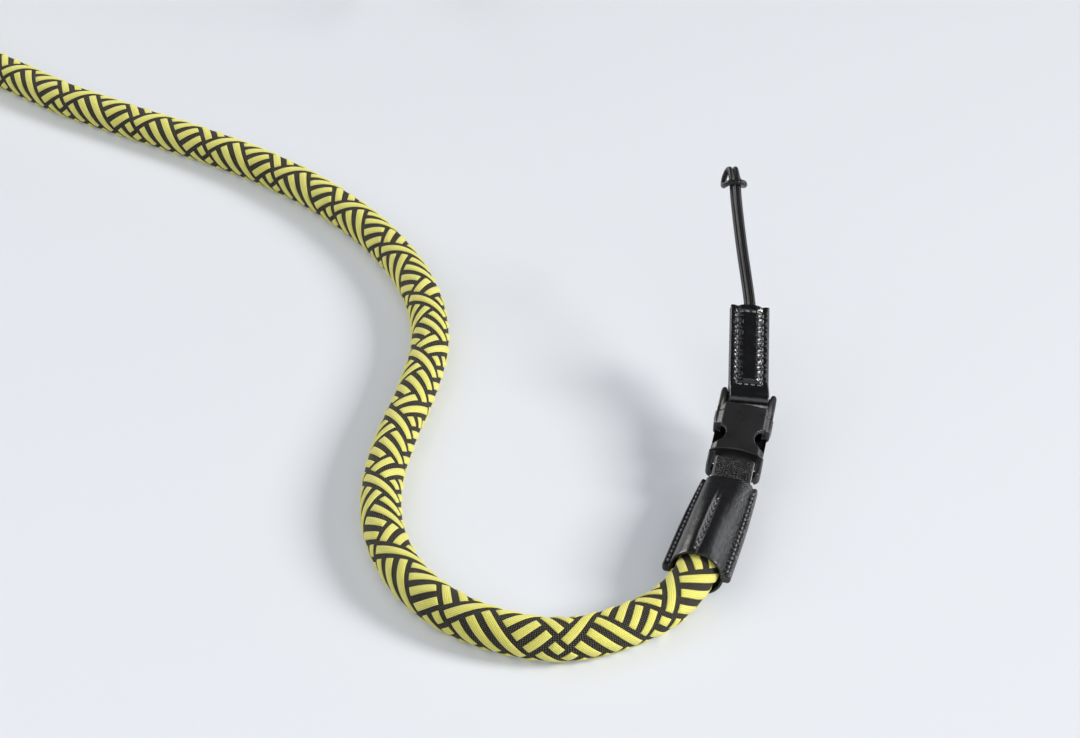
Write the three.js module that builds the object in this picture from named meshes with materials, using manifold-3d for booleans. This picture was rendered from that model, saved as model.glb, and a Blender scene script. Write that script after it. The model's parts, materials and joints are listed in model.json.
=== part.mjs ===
// A round plaited rope strap to wear round the neck: one rope, and at each end a leather cap, a
// short strap, a side-release buckle, a folded leather tab and a thin loop cord that is hitched
// round an eye. Millimetres, +Z up. The origin is the eye of the near loop cord.
import * as THREE from 'three';
import { mergeVertices } from 'three/addons/utils/BufferGeometryUtils.js';
import Module from 'manifold-3d';

const wasm = await Module();
wasm.setup();

// Clearance between pieces that touch
const GAP = 0.3;

// Points nearer than this are one point; steps of a rounded edge and of a curve in an outline
const WELD = 1e-4;
const EDGE_STEPS = 2;
const CURVE_STEPS = 6;

// Rope
const ROPE_DIAMETER = 10;
const ROPE_SIDES = 12;
const ROPE_STEPS = 80;
const ROPE_SEAT = 6.2;

// The rope's route in mm: out of its seat in the near cap, along the S bend that lies flat,
// round the wide end of the loop and back into the far cap
const ROPE_ROUTE = [
  [-12.0, -111.25, -33.66],
  [-13.5, -116.0, -34.0],
  [-17.6, -122.8, -35.1],
  [-24.1, -129.2, -36.0],
  [-42.7, -137.4, -36.0],
  [-61.4, -133.0, -36.0],
  [-76.3, -120.2, -36.0],
  [-84.4, -102.5, -36.0],
  [-86.4, -82.4, -36.0],
  [-83.7, -62.1, -36.0],
  [-79.4, -42.0, -36.0],
  [-77.1, -22.2, -36.0],
  [-79.4, -3.0, -36.0],
  [-85.8, 15.3, -36.0],
  [-95.7, 32.6, -36.0],
  [-108.4, 48.3, -36.0],
  [-123.2, 62.3, -36.0],
  [-139.3, 74.1, -36.0],
  [-156.2, 84.6, -36.0],
  [-173.3, 94.8, -36.0],
  [-190.1, 105.7, -36.0],
  [-205.9, 118.5, -36.0],
  [-222.5, 132.5, -36.0],
  [-233.8, 149.5, -36.0],
  [-240.5, 169.5, -36.0],
  [-242.5, 190.8, -36.0],
  [-242.5, 212.0, -36.0],
  [-242.0, 233.0, -36.0],
  [-240.0, 254.0, -36.0],
  [-235.0, 274.5, -36.0],
  [-225.0, 293.0, -36.0],
  [-209.5, 306.5, -36.0],
  [-190.0, 313.5, -36.0],
  [-169.0, 313.5, -36.0],
  [-149.5, 307.0, -36.0],
  [-132.5, 295.5, -36.0],
  [-119.5, 280.0, -36.0],
  [-109.5, 263.5, -35.2],
  [-106.1, 255.2, -34.0],
  [-104.2, 250.55, -33.64],
];

// Leather cap that grips the rope's end
const CAP_LENGTH = 30.7;
const CAP_WALL = 1.1;
const CAP_FLARE = 0.4;
const CAP_LIP = 1.6;
const CAP_LIP_THICKNESS = 2.2;
const CAP_VALLEY = 1.4;
const CAP_VALLEY_WIDTH = 0.2;

// Strap between the cap and the buckle, looped round the buckle's lower bar
const STRAP_WIDTH = 9.4;
const STRAP_PLY = 1.0;
const STRAP_TAIL = 8;
const STRAP_PRESSED = 0.6;
const STRAP_LOOP = 5.3;
const STRAP_NECK = 2.4;

// Side-release buckle, measured from the outer edge of its lower bar
const BUCKLE_WIDTH = 14.1;
const BUCKLE_LENGTH = 27.4;
const BODY_THICKNESS = 5.2;
const FRAME_WIDTH = 13.1;
const FRAME_THICKNESS = 3.6;
const FRAME_CORNER = 2.0;
const LEG_WIDTH = 1.4;
const LOWER_BAR = 2.2;
const LOWER_BAR_THICKNESS = 1.8;
const BODY_START = 5.6;
const SHOULDER_LENGTH = 1.6;
const WAIST_WIDTH = 12.7;
const RIM_LENGTH = 2.4;
const PLUG_HEAD = 8.1;
const SEAM = BUCKLE_LENGTH - PLUG_HEAD;
const WINDOW_DROP = 8.0;
const WINDOW_CENTRE = SEAM - WINDOW_DROP;
const WINDOW_REACH = 3.4;
const WINDOW_HALF_LENGTH = 3.4;
const SOCKET_ROOM = 3.0;
const SOCKET_FLOOR = 1.2;
const SOCKET_WALL = 1.3;
const EDGE_ROUND = 0.5;
const PLUG_WIDTH = 13.6;
const PLUG_BASE = 1.6;
const PLUG_BAR = 1.8;
const PLUG_BAR_THICKNESS = 2.0;
const PLUG_BAR_DROP = 2.35;
const PLUG_BAR_START = BUCKLE_LENGTH - PLUG_BAR_DROP;
const EAR_THICKNESS = 4.2;
const EAR_WIDTH = 1.6;
const EAR_CROWN = 1.4;
const ARM_WIDTH = 1.7;
const PRESS_WIDTH = 13.4;
const TONGUE_WIDTH = 2.4;

// Folded leather tab, sewn shut above the plug's bar
const TAB_WIDTH = 9.7;
const TAB_LENGTH = 28.85;
const TAB_PLY = 1.2;
const TAB_THICKNESS = 3.2;
const TAB_FOLD_ROOM = 3.8;
const TAB_THROAT = 9;

// Thin loop cord
const CORD_DIAMETER = 1.3;
const CORD_SIDES = 8;
const CORD_STEPS = 72;
const CORD_SPACING = 1.7;
const CORD_SEAT = 9.7;
const CORD_LENGTH = 39.18;
const EYE_WIRE = 1.8;
const CORD_SAG = 0.15;

// Half of the hitch, up one strand, round the eye's wire and back to the front: sideways in
// cord pitches beyond the strand, along in wraps of the wire, and out in wraps and in pitches
const HITCH = [
  { aside: 0, along: -4, out: 0.5, over: 0 },
  { aside: 0, along: -2, out: 1, over: 0 },
  { aside: 0, along: -0.3, out: 1.08, over: 0 },
  { aside: 0, along: 0.75, out: 0.75, over: 0 },
  { aside: 0.2, along: 1.08, out: -0.1, over: 0 },
  { aside: 0.6, along: 0.5, out: -0.95, over: 0 },
  { aside: 0.9, along: -0.5, out: -0.95, over: 0 },
  { aside: 1.1, along: -1.3, out: -0.2, over: 0 },
  { aside: 1.1, along: -1.85, out: 0.85, over: 0 },
  { aside: 0.6, along: -2.1, out: 1, over: 0.85 },
];
const BIGHT = { along: -2.15, out: 1, over: 1.15 };

// How each run of an end turns, climbs and leans, in degrees, from the rope up to the eye:
// heading is measured from +Y towards -X, and roll sets the right side down
const NEAR_RUNS = {
  cap: { heading: -17.6, pitch: 3.9, roll: 0 },
  buckle: { heading: -11.9, pitch: 9.0, roll: 5.0 },
  tab: { heading: -3.5, pitch: 23.5, roll: 6.5 },
  cord: { heading: 4.65, pitch: 25.5, roll: 3.0 },
};
const FAR_RUNS = {
  cap: { heading: -157.5, pitch: 4.1, roll: 0 },
  buckle: { heading: -157.5, pitch: 9.0, roll: 0 },
  tab: { heading: -157.5, pitch: 23.5, roll: 0 },
  cord: { heading: -157.5, pitch: 25.2, roll: 0 },
};

// Cross-sections of the cap from its mouth up: at is the place along the cap, core and thick
// are shares of the mouth's outer radius, lip and valley shares of those sizes, square is the
// power of the rounded outline
const CAP_SECTIONS = [
  { at: 0.0, core: 1.0, thick: 1.0, lip: 1.0, valley: 0.0, square: 2.0 },
  { at: 0.17, core: 0.99, thick: 0.99, lip: 1.0, valley: 0.05, square: 2.0 },
  { at: 0.27, core: 0.98, thick: 0.96, lip: 1.0, valley: 0.6, square: 2.05 },
  { at: 0.4, core: 0.97, thick: 0.92, lip: 1.0, valley: 1.0, square: 2.1 },
  { at: 0.6, core: 0.95, thick: 0.84, lip: 0.95, valley: 1.0, square: 2.3 },
  { at: 0.8, core: 0.92, thick: 0.7, lip: 0.85, valley: 0.9, square: 2.6 },
  { at: 0.95, core: 0.9, thick: 0.53, lip: 0.75, valley: 0.5, square: 3.1 },
  { at: 1.0, core: 0.89, thick: 0.46, lip: 0.65, valley: 0.2, square: 3.3 },
];
const CAP_COLUMNS = [-1, -0.97, -0.88, -0.74, -0.56, -0.4, -0.26, -0.12, 0];

const FINISH = {
  rope: { color: 0xc9c25c, roughness: 0.85, metalness: 0 },
  leather: { color: 0x16161a, roughness: 0.42, metalness: 0 },
  strap: { color: 0x1b1b1e, roughness: 0.6, metalness: 0 },
  plastic: { color: 0x242427, roughness: 0.38, metalness: 0 },
  cord: { color: 0x121214, roughness: 0.35, metalness: 0 },
};

// Solids and booleans

function toSolid(geometry) {
  const bare = geometry.clone();
  bare.deleteAttribute('normal');
  bare.deleteAttribute('uv');
  const welded = mergeVertices(bare, WELD);
  const triVerts = welded.index
    ? Uint32Array.from(welded.index.array)
    : Uint32Array.from(welded.attributes.position.array.keys());
  const vertProperties = Float32Array.from(welded.attributes.position.array);
  return new wasm.Manifold(new wasm.Mesh({ numProp: 3, vertProperties, triVerts }));
}

function toGeometry(solid) {
  const mesh = solid.getMesh();
  const geometry = new THREE.BufferGeometry();
  geometry.setAttribute('position', new THREE.BufferAttribute(mesh.vertProperties, 3));
  geometry.setIndex(new THREE.BufferAttribute(mesh.triVerts, 1));
  geometry.computeVertexNormals();
  return geometry;
}

function box(xSize, ySize, zSize, x, y, z) {
  const geometry = new THREE.BoxGeometry(xSize, ySize, zSize);
  geometry.translate(x, y, z);
  return toSolid(geometry);
}

// A plate in the XY plane, centred on Z, with its edges rounded off
function plate(outline, thickness, round) {
  const geometry = new THREE.ExtrudeGeometry(outline, {
    depth: thickness - 2 * round,
    bevelEnabled: round > 0,
    bevelSize: round,
    bevelOffset: -round,
    bevelThickness: round,
    bevelSegments: EDGE_STEPS,
    curveSegments: CURVE_STEPS,
  });
  geometry.translate(0, 0, -thickness / 2 + round);
  return toSolid(geometry);
}

// A side profile, drawn as (Y, Z), carried across the width along X
function acrossWidth(profile, width) {
  const geometry = new THREE.ExtrudeGeometry(profile, {
    depth: width,
    bevelEnabled: false,
    curveSegments: CURVE_STEPS,
  });
  geometry.translate(0, 0, -width / 2);
  const axes = new THREE.Matrix4().makeBasis(
    new THREE.Vector3(0, 1, 0),
    new THREE.Vector3(0, 0, 1),
    new THREE.Vector3(1, 0, 0),
  );
  geometry.applyMatrix4(axes);
  return toSolid(geometry);
}

// A tube of a round section along a smooth curve
function tube(curve, diameter, sides, steps) {
  const section = new THREE.Shape();
  for (let side = 0; side < sides; side += 1) {
    const angle = (2 * Math.PI * side) / sides;
    const x = (Math.cos(angle) * diameter) / 2;
    const y = (Math.sin(angle) * diameter) / 2;
    if (side === 0) section.moveTo(x, y);
    else section.lineTo(x, y);
  }
  section.closePath();
  return new THREE.ExtrudeGeometry(section, { steps, extrudePath: curve, bevelEnabled: false });
}

// A closed skin over rings with the same number of points; each end is closed by a fan
function loft(rings) {
  const count = rings[0].length;
  const positions = rings.flat().flatMap((point) => [point.x, point.y, point.z]);
  const index = [];
  for (let ring = 0; ring + 1 < rings.length; ring += 1) {
    for (let k = 0; k < count; k += 1) {
      const a = ring * count + k;
      const b = ring * count + ((k + 1) % count);
      index.push(a, b + count, b, a, a + count, b + count);
    }
  }
  const last = (rings.length - 1) * count;
  const first = rings[0].map((point) => new THREE.Vector2(point.x, point.z));
  const faces = THREE.ShapeUtils.triangulateShape(first, []);
  const finalRing = rings[rings.length - 1].map((point) => new THREE.Vector2(point.x, point.z));
  const finalFaces = THREE.ShapeUtils.triangulateShape(finalRing, []);
  faces.forEach(([a, b, c]) => index.push(a, b, c));
  finalFaces.forEach(([a, b, c]) => index.push(last + a, last + c, last + b));
  const geometry = new THREE.BufferGeometry();
  geometry.setAttribute('position', new THREE.Float32BufferAttribute(positions, 3));
  geometry.setIndex(index);
  return geometry;
}

// Rope and places

function routeCurve(points) {
  const vectors = points.map((point) => new THREE.Vector3(...point));
  return new THREE.CatmullRomCurve3(vectors, false, 'centripetal');
}

// Local axes of a run: X across the width, Y up the run, Z out of the upper face
function runAxes({ heading, pitch, roll }) {
  const turn = THREE.MathUtils.degToRad(heading);
  const climb = THREE.MathUtils.degToRad(pitch);
  const along = new THREE.Vector3(
    -Math.sin(turn) * Math.cos(climb),
    Math.cos(turn) * Math.cos(climb),
    Math.sin(climb),
  );
  const across = new THREE.Vector3().crossVectors(along, new THREE.Vector3(0, 0, 1)).normalize();
  across.applyAxisAngle(along, THREE.MathUtils.degToRad(roll));
  const out = new THREE.Vector3().crossVectors(across, along);
  return { along, across, out };
}

function runMatrix(run, origin) {
  const { along, across, out } = runAxes(run);
  return new THREE.Matrix4().makeBasis(across, along, out).setPosition(origin);
}

function advance(origin, run, distance) {
  return origin.clone().addScaledVector(runAxes(run).along, distance);
}

// A short neck of strap shows between the cap and the frame, whose lower edge keeps clear of the
// cap's top although the two runs meet at an angle
function buckleStandoff(runs) {
  const climb = THREE.MathUtils.degToRad(runs.buckle.pitch - runs.cap.pitch);
  const turn = THREE.MathUtils.degToRad(runs.buckle.heading - runs.cap.heading);
  const lean = (FRAME_THICKNESS / 2) * Math.abs(Math.sin(climb));
  const swing = (FRAME_WIDTH / 2) * Math.abs(Math.sin(turn));
  return GAP + STRAP_NECK + lean + swing;
}

// Where each piece of an end starts, worked out from the rope's end upwards
function endPlaces(ropeEnd, runs) {
  const mouth = advance(ropeEnd, runs.cap, -ROPE_SEAT);
  const capTop = advance(mouth, runs.cap, CAP_LENGTH);
  const buckle = advance(capTop, runs.buckle, buckleStandoff(runs));
  const upperBar = advance(buckle, runs.buckle, PLUG_BAR_START + PLUG_BAR / 2);
  const fold = advance(upperBar, runs.tab, -(PLUG_BAR / 2 + GAP + TAB_PLY));
  const tabTop = advance(fold, runs.tab, TAB_LENGTH);
  return {
    cap: runMatrix(runs.cap, mouth),
    buckle: runMatrix(runs.buckle, buckle),
    tab: runMatrix(runs.tab, fold),
    cord: runMatrix(runs.cord, tabTop),
  };
}

// Cap

function capRing(section) {
  const mouthRadius = ROPE_DIAMETER / 2 + GAP + CAP_WALL;
  const core = mouthRadius * section.core;
  const thick = mouthRadius * section.thick;
  const edge = CAP_LIP_THICKNESS / 2;
  const reach = core + CAP_LIP * section.lip;
  const height = (u) => {
    const dome = thick * (1 - Math.abs(u) ** section.square) ** (1 / section.square);
    const valley = CAP_VALLEY * section.valley * Math.exp(-((u / CAP_VALLEY_WIDTH) ** 2));
    return Math.max(dome - valley, edge);
  };
  const half = CAP_COLUMNS.map((u) => ({ x: u * core, z: height(u) }));
  const mirrored = half.slice(0, -1).reverse().map(({ x, z }) => ({ x: -x, z }));
  const top = [{ x: -reach, z: edge }, ...half, ...mirrored, { x: reach, z: edge }];
  const bottom = top.map(({ x, z }) => ({ x, z: -z })).reverse();
  const y = section.at * CAP_LENGTH;
  return [...bottom, ...top].reverse().map(({ x, z }) => new THREE.Vector3(x, y, z));
}

function capSolid(strapRoom) {
  const outer = toSolid(loft(CAP_SECTIONS.map(capRing)));
  const bore = new THREE.CylinderGeometry(
    ROPE_DIAMETER / 2 + GAP,
    ROPE_DIAMETER / 2 + GAP + 2 * CAP_FLARE,
    2 * (ROPE_SEAT + GAP),
    2 * ROPE_SIDES,
  );
  return outer.subtract(toSolid(bore)).subtract(strapRoom);
}

// Strap: above the cap its two plies part to go round the lower bar, along the buckle's run.
// In the cap they lie together, along the cap's run. Grow is the room that a cut leaves for it.
function strapLoopHalf() {
  return LOWER_BAR_THICKNESS / 2 + GAP + STRAP_PLY;
}

function strapLoop(standoff, grow) {
  const half = strapLoopHalf() + grow;
  const centre = STRAP_LOOP - strapLoopHalf();
  const profile = new THREE.Shape();
  profile.moveTo(-standoff, -half);
  profile.lineTo(centre, -half);
  profile.absarc(centre, 0, half, -Math.PI / 2, Math.PI / 2, false);
  profile.lineTo(-standoff, half);
  profile.closePath();
  return acrossWidth(profile, STRAP_WIDTH + 2 * grow);
}

function strapTail(standoff, grow) {
  const top = CAP_LENGTH + standoff / 2;
  const pressed = CAP_LENGTH - STRAP_PRESSED;
  const end = CAP_LENGTH - STRAP_TAIL - grow;
  const profile = new THREE.Shape();
  profile.moveTo(end, -STRAP_PLY - grow);
  profile.lineTo(pressed, -STRAP_PLY - grow);
  profile.lineTo(top, -strapLoopHalf() - grow);
  profile.lineTo(top, strapLoopHalf() + grow);
  profile.lineTo(pressed, STRAP_PLY + grow);
  profile.lineTo(end, STRAP_PLY + grow);
  profile.closePath();
  return acrossWidth(profile, STRAP_WIDTH + 2 * grow);
}

function strapEye() {
  const half = LOWER_BAR_THICKNESS / 2 + GAP;
  const centre = STRAP_LOOP - STRAP_PLY - half;
  const eye = new THREE.Shape();
  eye.moveTo(-GAP, -half);
  eye.lineTo(centre, -half);
  eye.absarc(centre, 0, half, -Math.PI / 2, Math.PI / 2, false);
  eye.lineTo(-GAP, half);
  eye.closePath();
  return acrossWidth(eye, 2 * STRAP_WIDTH);
}

// Buckle

// Outline of the frame and body: two legs joined by the lower bar, shoulders, a waist at the
// windows, and a rim that is as wide as the buckle
function socketOutline(top) {
  const leg = FRAME_WIDTH / 2;
  const waist = WAIST_WIDTH / 2;
  const rim = BUCKLE_WIDTH / 2;
  const waistStart = BODY_START + SHOULDER_LENGTH;
  const shoulder = (BODY_START + waistStart) / 2;
  const rimStart = top - RIM_LENGTH;
  const outline = new THREE.Shape();
  outline.moveTo(-leg + FRAME_CORNER, 0);
  outline.lineTo(leg - FRAME_CORNER, 0);
  outline.quadraticCurveTo(leg, 0, leg, FRAME_CORNER);
  outline.lineTo(leg, BODY_START);
  outline.bezierCurveTo(leg, shoulder, waist, shoulder, waist, waistStart);
  outline.quadraticCurveTo(waist, WINDOW_CENTRE, rim, rimStart);
  outline.lineTo(rim, top);
  outline.lineTo(-rim, top);
  outline.lineTo(-rim, rimStart);
  outline.quadraticCurveTo(-waist, WINDOW_CENTRE, -waist, waistStart);
  outline.bezierCurveTo(-waist, shoulder, -leg, shoulder, -leg, BODY_START);
  outline.lineTo(-leg, FRAME_CORNER);
  outline.quadraticCurveTo(-leg, 0, -leg + FRAME_CORNER, 0);
  return outline;
}

// The frame's legs are thinner than the body, and the strap's slot lies between them
function bucklePlates(top) {
  const outline = socketOutline(top);
  const whole = plate(outline, BODY_THICKNESS, EDGE_ROUND);
  const bodyOnly = box(
    BUCKLE_WIDTH + GAP, top, BODY_THICKNESS + GAP, 0, BODY_START + top / 2, 0,
  );
  const frame = plate(outline, FRAME_THICKNESS, EDGE_ROUND);
  const slotLength = BODY_START - LOWER_BAR;
  const slot = box(
    FRAME_WIDTH - 2 * LEG_WIDTH, slotLength, BODY_THICKNESS, 0, LOWER_BAR + slotLength / 2, 0,
  );
  const barTrim = (FRAME_THICKNESS - LOWER_BAR_THICKNESS) / 2;
  const trim = (side) => box(
    FRAME_WIDTH - 2 * LEG_WIDTH,
    2 * LOWER_BAR,
    barTrim,
    0,
    0,
    (side * (FRAME_THICKNESS - barTrim)) / 2,
  );
  return whole.intersect(bodyOnly).add(frame).subtract(slot).subtract(trim(1)).subtract(trim(-1));
}

function windowHole(side, shrink) {
  const hole = new THREE.Shape();
  hole.absellipse(
    (side * BUCKLE_WIDTH) / 2,
    WINDOW_CENTRE,
    WINDOW_REACH - shrink,
    WINDOW_HALF_LENGTH - shrink,
    0,
    2 * Math.PI,
    false,
  );
  return hole;
}

function socketSolid() {
  const roomWidth = WAIST_WIDTH - 2 * SOCKET_WALL;
  const roomLength = SEAM - BODY_START - SOCKET_FLOOR;
  const room = box(
    roomWidth, roomLength + GAP, SOCKET_ROOM, 0, SEAM - (roomLength - GAP) / 2, 0,
  );
  const holes = [-1, 1].map((side) => plate(windowHole(side, 0), 2 * BODY_THICKNESS, 0));
  return bucklePlates(SEAM).subtract(room).subtract(holes[0]).subtract(holes[1]);
}

// Base, two ears with the upper bar between them
function earOutline(side) {
  const outer = (side * PLUG_WIDTH) / 2;
  const inner = side * (PLUG_WIDTH / 2 - EAR_WIDTH);
  const tip = (outer + inner) / 2;
  const start = SEAM + GAP;
  const ear = new THREE.Shape();
  ear.moveTo(inner, start);
  ear.lineTo(inner, BUCKLE_LENGTH - EAR_CROWN);
  ear.quadraticCurveTo(inner, BUCKLE_LENGTH, tip, BUCKLE_LENGTH);
  ear.quadraticCurveTo(outer, BUCKLE_LENGTH, outer, BUCKLE_LENGTH - EAR_CROWN);
  ear.lineTo(outer, start);
  ear.closePath();
  return ear;
}

function plugHead() {
  const base = box(
    PLUG_WIDTH, PLUG_BASE, EAR_THICKNESS, 0, SEAM + GAP + PLUG_BASE / 2, 0,
  );
  const ears = [-1, 1].map((side) => plate(earOutline(side), EAR_THICKNESS, EDGE_ROUND));
  const bar = box(
    PLUG_WIDTH - EAR_WIDTH,
    PLUG_BAR,
    PLUG_BAR_THICKNESS,
    0,
    PLUG_BAR_START + PLUG_BAR / 2,
    0,
  );
  return base.add(ears[0]).add(ears[1]).add(bar);
}

// Two arms whose ends fill the side windows, and a tongue between them
function plugSolid() {
  const armThickness = SOCKET_ROOM - 2 * GAP;
  const armX = WAIST_WIDTH / 2 - SOCKET_WALL - GAP - ARM_WIDTH / 2;
  const armLength = SEAM + 2 * GAP - WINDOW_CENTRE;
  const arm = (side) => box(
    ARM_WIDTH, armLength, armThickness, side * armX, WINDOW_CENTRE + armLength / 2, 0,
  );
  const pressEnd = (side) => {
    const full = plate(windowHole(side, GAP), armThickness, 0);
    const trim = box(
      PRESS_WIDTH, BUCKLE_LENGTH, BODY_THICKNESS, 0, WINDOW_CENTRE, 0,
    );
    return full.intersect(trim);
  };
  const floor = BODY_START + SOCKET_FLOOR + GAP;
  const tongueLength = SEAM + 2 * GAP - floor;
  const tongue = box(TONGUE_WIDTH, tongueLength, armThickness, 0, floor + tongueLength / 2, 0);
  return [-1, 1].reduce((sum, side) => sum.add(arm(side)).add(pressEnd(side)), plugHead())
    .add(tongue);
}

// Tab: a strip of leather folded round the upper bar, its two halves sewn together
function tabSolid(placeOnBar) {
  const foldHalf = PLUG_BAR_THICKNESS / 2 + GAP + TAB_PLY;
  const half = TAB_THICKNESS / 2;
  const profile = new THREE.Shape();
  profile.moveTo(TAB_LENGTH, -half);
  profile.lineTo(TAB_LENGTH, half);
  profile.lineTo(TAB_THROAT, half);
  profile.quadraticCurveTo(foldHalf + TAB_FOLD_ROOM / 2, foldHalf, foldHalf, foldHalf);
  profile.absarc(foldHalf, 0, foldHalf, Math.PI / 2, -Math.PI / 2, false);
  profile.quadraticCurveTo(foldHalf + TAB_FOLD_ROOM / 2, -foldHalf, TAB_THROAT, -half);
  profile.closePath();
  const eyeHalf = PLUG_BAR_THICKNESS / 2 + GAP;
  const eyeStart = TAB_PLY;
  const eyeEnd = eyeStart + TAB_FOLD_ROOM;
  const eye = new THREE.Shape();
  eye.moveTo(eyeEnd, -eyeHalf);
  eye.lineTo(eyeEnd + eyeHalf, 0);
  eye.lineTo(eyeEnd, eyeHalf);
  eye.lineTo(eyeStart + eyeHalf, eyeHalf);
  eye.absarc(eyeStart + eyeHalf, 0, eyeHalf, Math.PI / 2, -Math.PI / 2, false);
  eye.closePath();
  const seatDepth = CORD_SEAT + GAP;
  const seat = box(
    CORD_SPACING + CORD_DIAMETER + 2 * GAP,
    2 * seatDepth,
    CORD_DIAMETER + 2 * GAP,
    0,
    TAB_LENGTH,
    0,
  );
  const barRoom = placeOnBar(box(
    2 * TAB_WIDTH,
    PLUG_BAR + 2 * GAP,
    PLUG_BAR_THICKNESS + 2 * GAP,
    0,
    PLUG_BAR_START + PLUG_BAR / 2,
    0,
  ));
  return acrossWidth(profile, TAB_WIDTH)
    .subtract(acrossWidth(eye, 2 * TAB_WIDTH))
    .subtract(barRoom)
    .subtract(seat);
}

// Loop cord: two strands up from the tab, hitched round the room that an eye's wire takes.
// Places are from the eye's centre, with the strands coming from below; each strand's seat is
// in line with the tab.
function cordRoute(tabToEye) {
  const wrap = EYE_WIRE / 2 + GAP + CORD_DIAMETER / 2;
  const strand = CORD_SPACING / 2;
  const pitch = CORD_DIAMETER + GAP;
  const inTab = (side, y) => new THREE.Vector3(side * strand, y, 0).applyMatrix4(tabToEye).toArray();
  const seat = (side) => [
    inTab(side, TAB_LENGTH - CORD_SEAT),
    inTab(side, TAB_LENGTH - CORD_SEAT / 2),
    inTab(side, TAB_LENGTH),
    inTab(side, TAB_LENGTH + CORD_DIAMETER),
  ];
  const half = [
    [-strand, -CORD_LENGTH / 2, CORD_SAG],
    ...HITCH.map(({ aside, along, out, over }) => [
      -strand - aside * pitch,
      along * wrap,
      out * wrap + over * pitch,
    ]),
  ];
  const bight = [0, BIGHT.along * wrap, BIGHT.out * wrap + BIGHT.over * pitch];
  const other = half.map(([x, y, z]) => [-x, y, z]).reverse();
  return [...seat(-1), ...half, bight, ...other, ...seat(1).reverse()];
}

// Assembly

function finishedMesh(name, geometry, finish, matrix) {
  const mesh = new THREE.Mesh(geometry, new THREE.MeshStandardMaterial(finish));
  mesh.name = name;
  if (matrix) mesh.applyMatrix4(matrix);
  return mesh;
}

function inFrameOf(target, source) {
  const matrix = target.clone().invert().multiply(source);
  return (solid) => {
    const geometry = toGeometry(solid);
    geometry.applyMatrix4(matrix);
    return toSolid(geometry);
  };
}

// One end of the strap: its pieces from the cap to the loop cord
function strapEnd(prefix, ropeEnd, runs, buckleMeshes) {
  const places = endPlaces(ropeEnd, runs);
  const standoff = buckleStandoff(runs);
  const toCap = inFrameOf(places.cap, places.buckle);
  const toBuckle = inFrameOf(places.buckle, places.cap);
  const toTab = inFrameOf(places.tab, places.buckle);
  const strapRoom = strapTail(standoff, GAP).add(toCap(strapLoop(standoff, GAP)));
  const cap = capSolid(strapRoom);
  const strap = strapLoop(standoff, 0).add(toBuckle(strapTail(standoff, 0))).subtract(strapEye());
  const tab = tabSolid(toTab);
  const eyePlace = places.cord.clone().multiply(
    new THREE.Matrix4().makeTranslation(0, CORD_LENGTH, 0),
  );
  const tabToEye = eyePlace.clone().invert().multiply(places.tab);
  const cord = tube(routeCurve(cordRoute(tabToEye)), CORD_DIAMETER, CORD_SIDES, CORD_STEPS);
  const end = new THREE.Group();
  end.add(finishedMesh(`${prefix}_rope_cap`, toGeometry(cap), FINISH.leather, places.cap));
  end.add(finishedMesh(`${prefix}_cap_strap`, toGeometry(strap), FINISH.strap, places.buckle));
  buckleMeshes(places.buckle).forEach((mesh) => end.add(mesh));
  end.add(finishedMesh(`${prefix}_tab`, toGeometry(tab), FINISH.leather, places.tab));
  end.add(finishedMesh(`${prefix}_loop_cord`, cord, FINISH.cord, eyePlace));
  return end;
}

function nearBuckle(place) {
  return [
    finishedMesh('near_buckle_socket', toGeometry(socketSolid()), FINISH.plastic, place),
    finishedMesh('near_buckle_plug', toGeometry(plugSolid()), FINISH.plastic, place),
  ];
}

// The hidden buckle is the closed pair's form in one plain piece
function farBuckle(place) {
  const solid = bucklePlates(SEAM + GAP).add(plugHead());
  return [finishedMesh('far_buckle', toGeometry(solid), FINISH.plastic, place)];
}

const ropeCurve = routeCurve(ROPE_ROUTE);
const rope = tube(ropeCurve, ROPE_DIAMETER, ROPE_SIDES, ROPE_STEPS);

const strapGroup = new THREE.Group();
strapGroup.add(finishedMesh('rope', rope, FINISH.rope));
strapGroup.add(strapEnd('near', ropeCurve.getPoint(0), NEAR_RUNS, nearBuckle));
strapGroup.add(strapEnd('far', ropeCurve.getPoint(1), FAR_RUNS, farBuckle));

export default strapGroup;
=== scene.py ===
# %% [markdown]
# # A plaited rope strap for the neck
# The strap is one soft round rope, and at each end a leather cap, a short grained strap, a
# side-release buckle, a folded leather tab and a thin loop cord. The solids come from the packed
# frame, in metres. This file dresses them: each solid gets a piece with the real one's plait,
# seams, grain or soft edges, and a finish made of shader nodes. Lengths below are in
# millimetres, and the helper that builds a mesh turns them to metres.

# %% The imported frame
import json
import math

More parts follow.
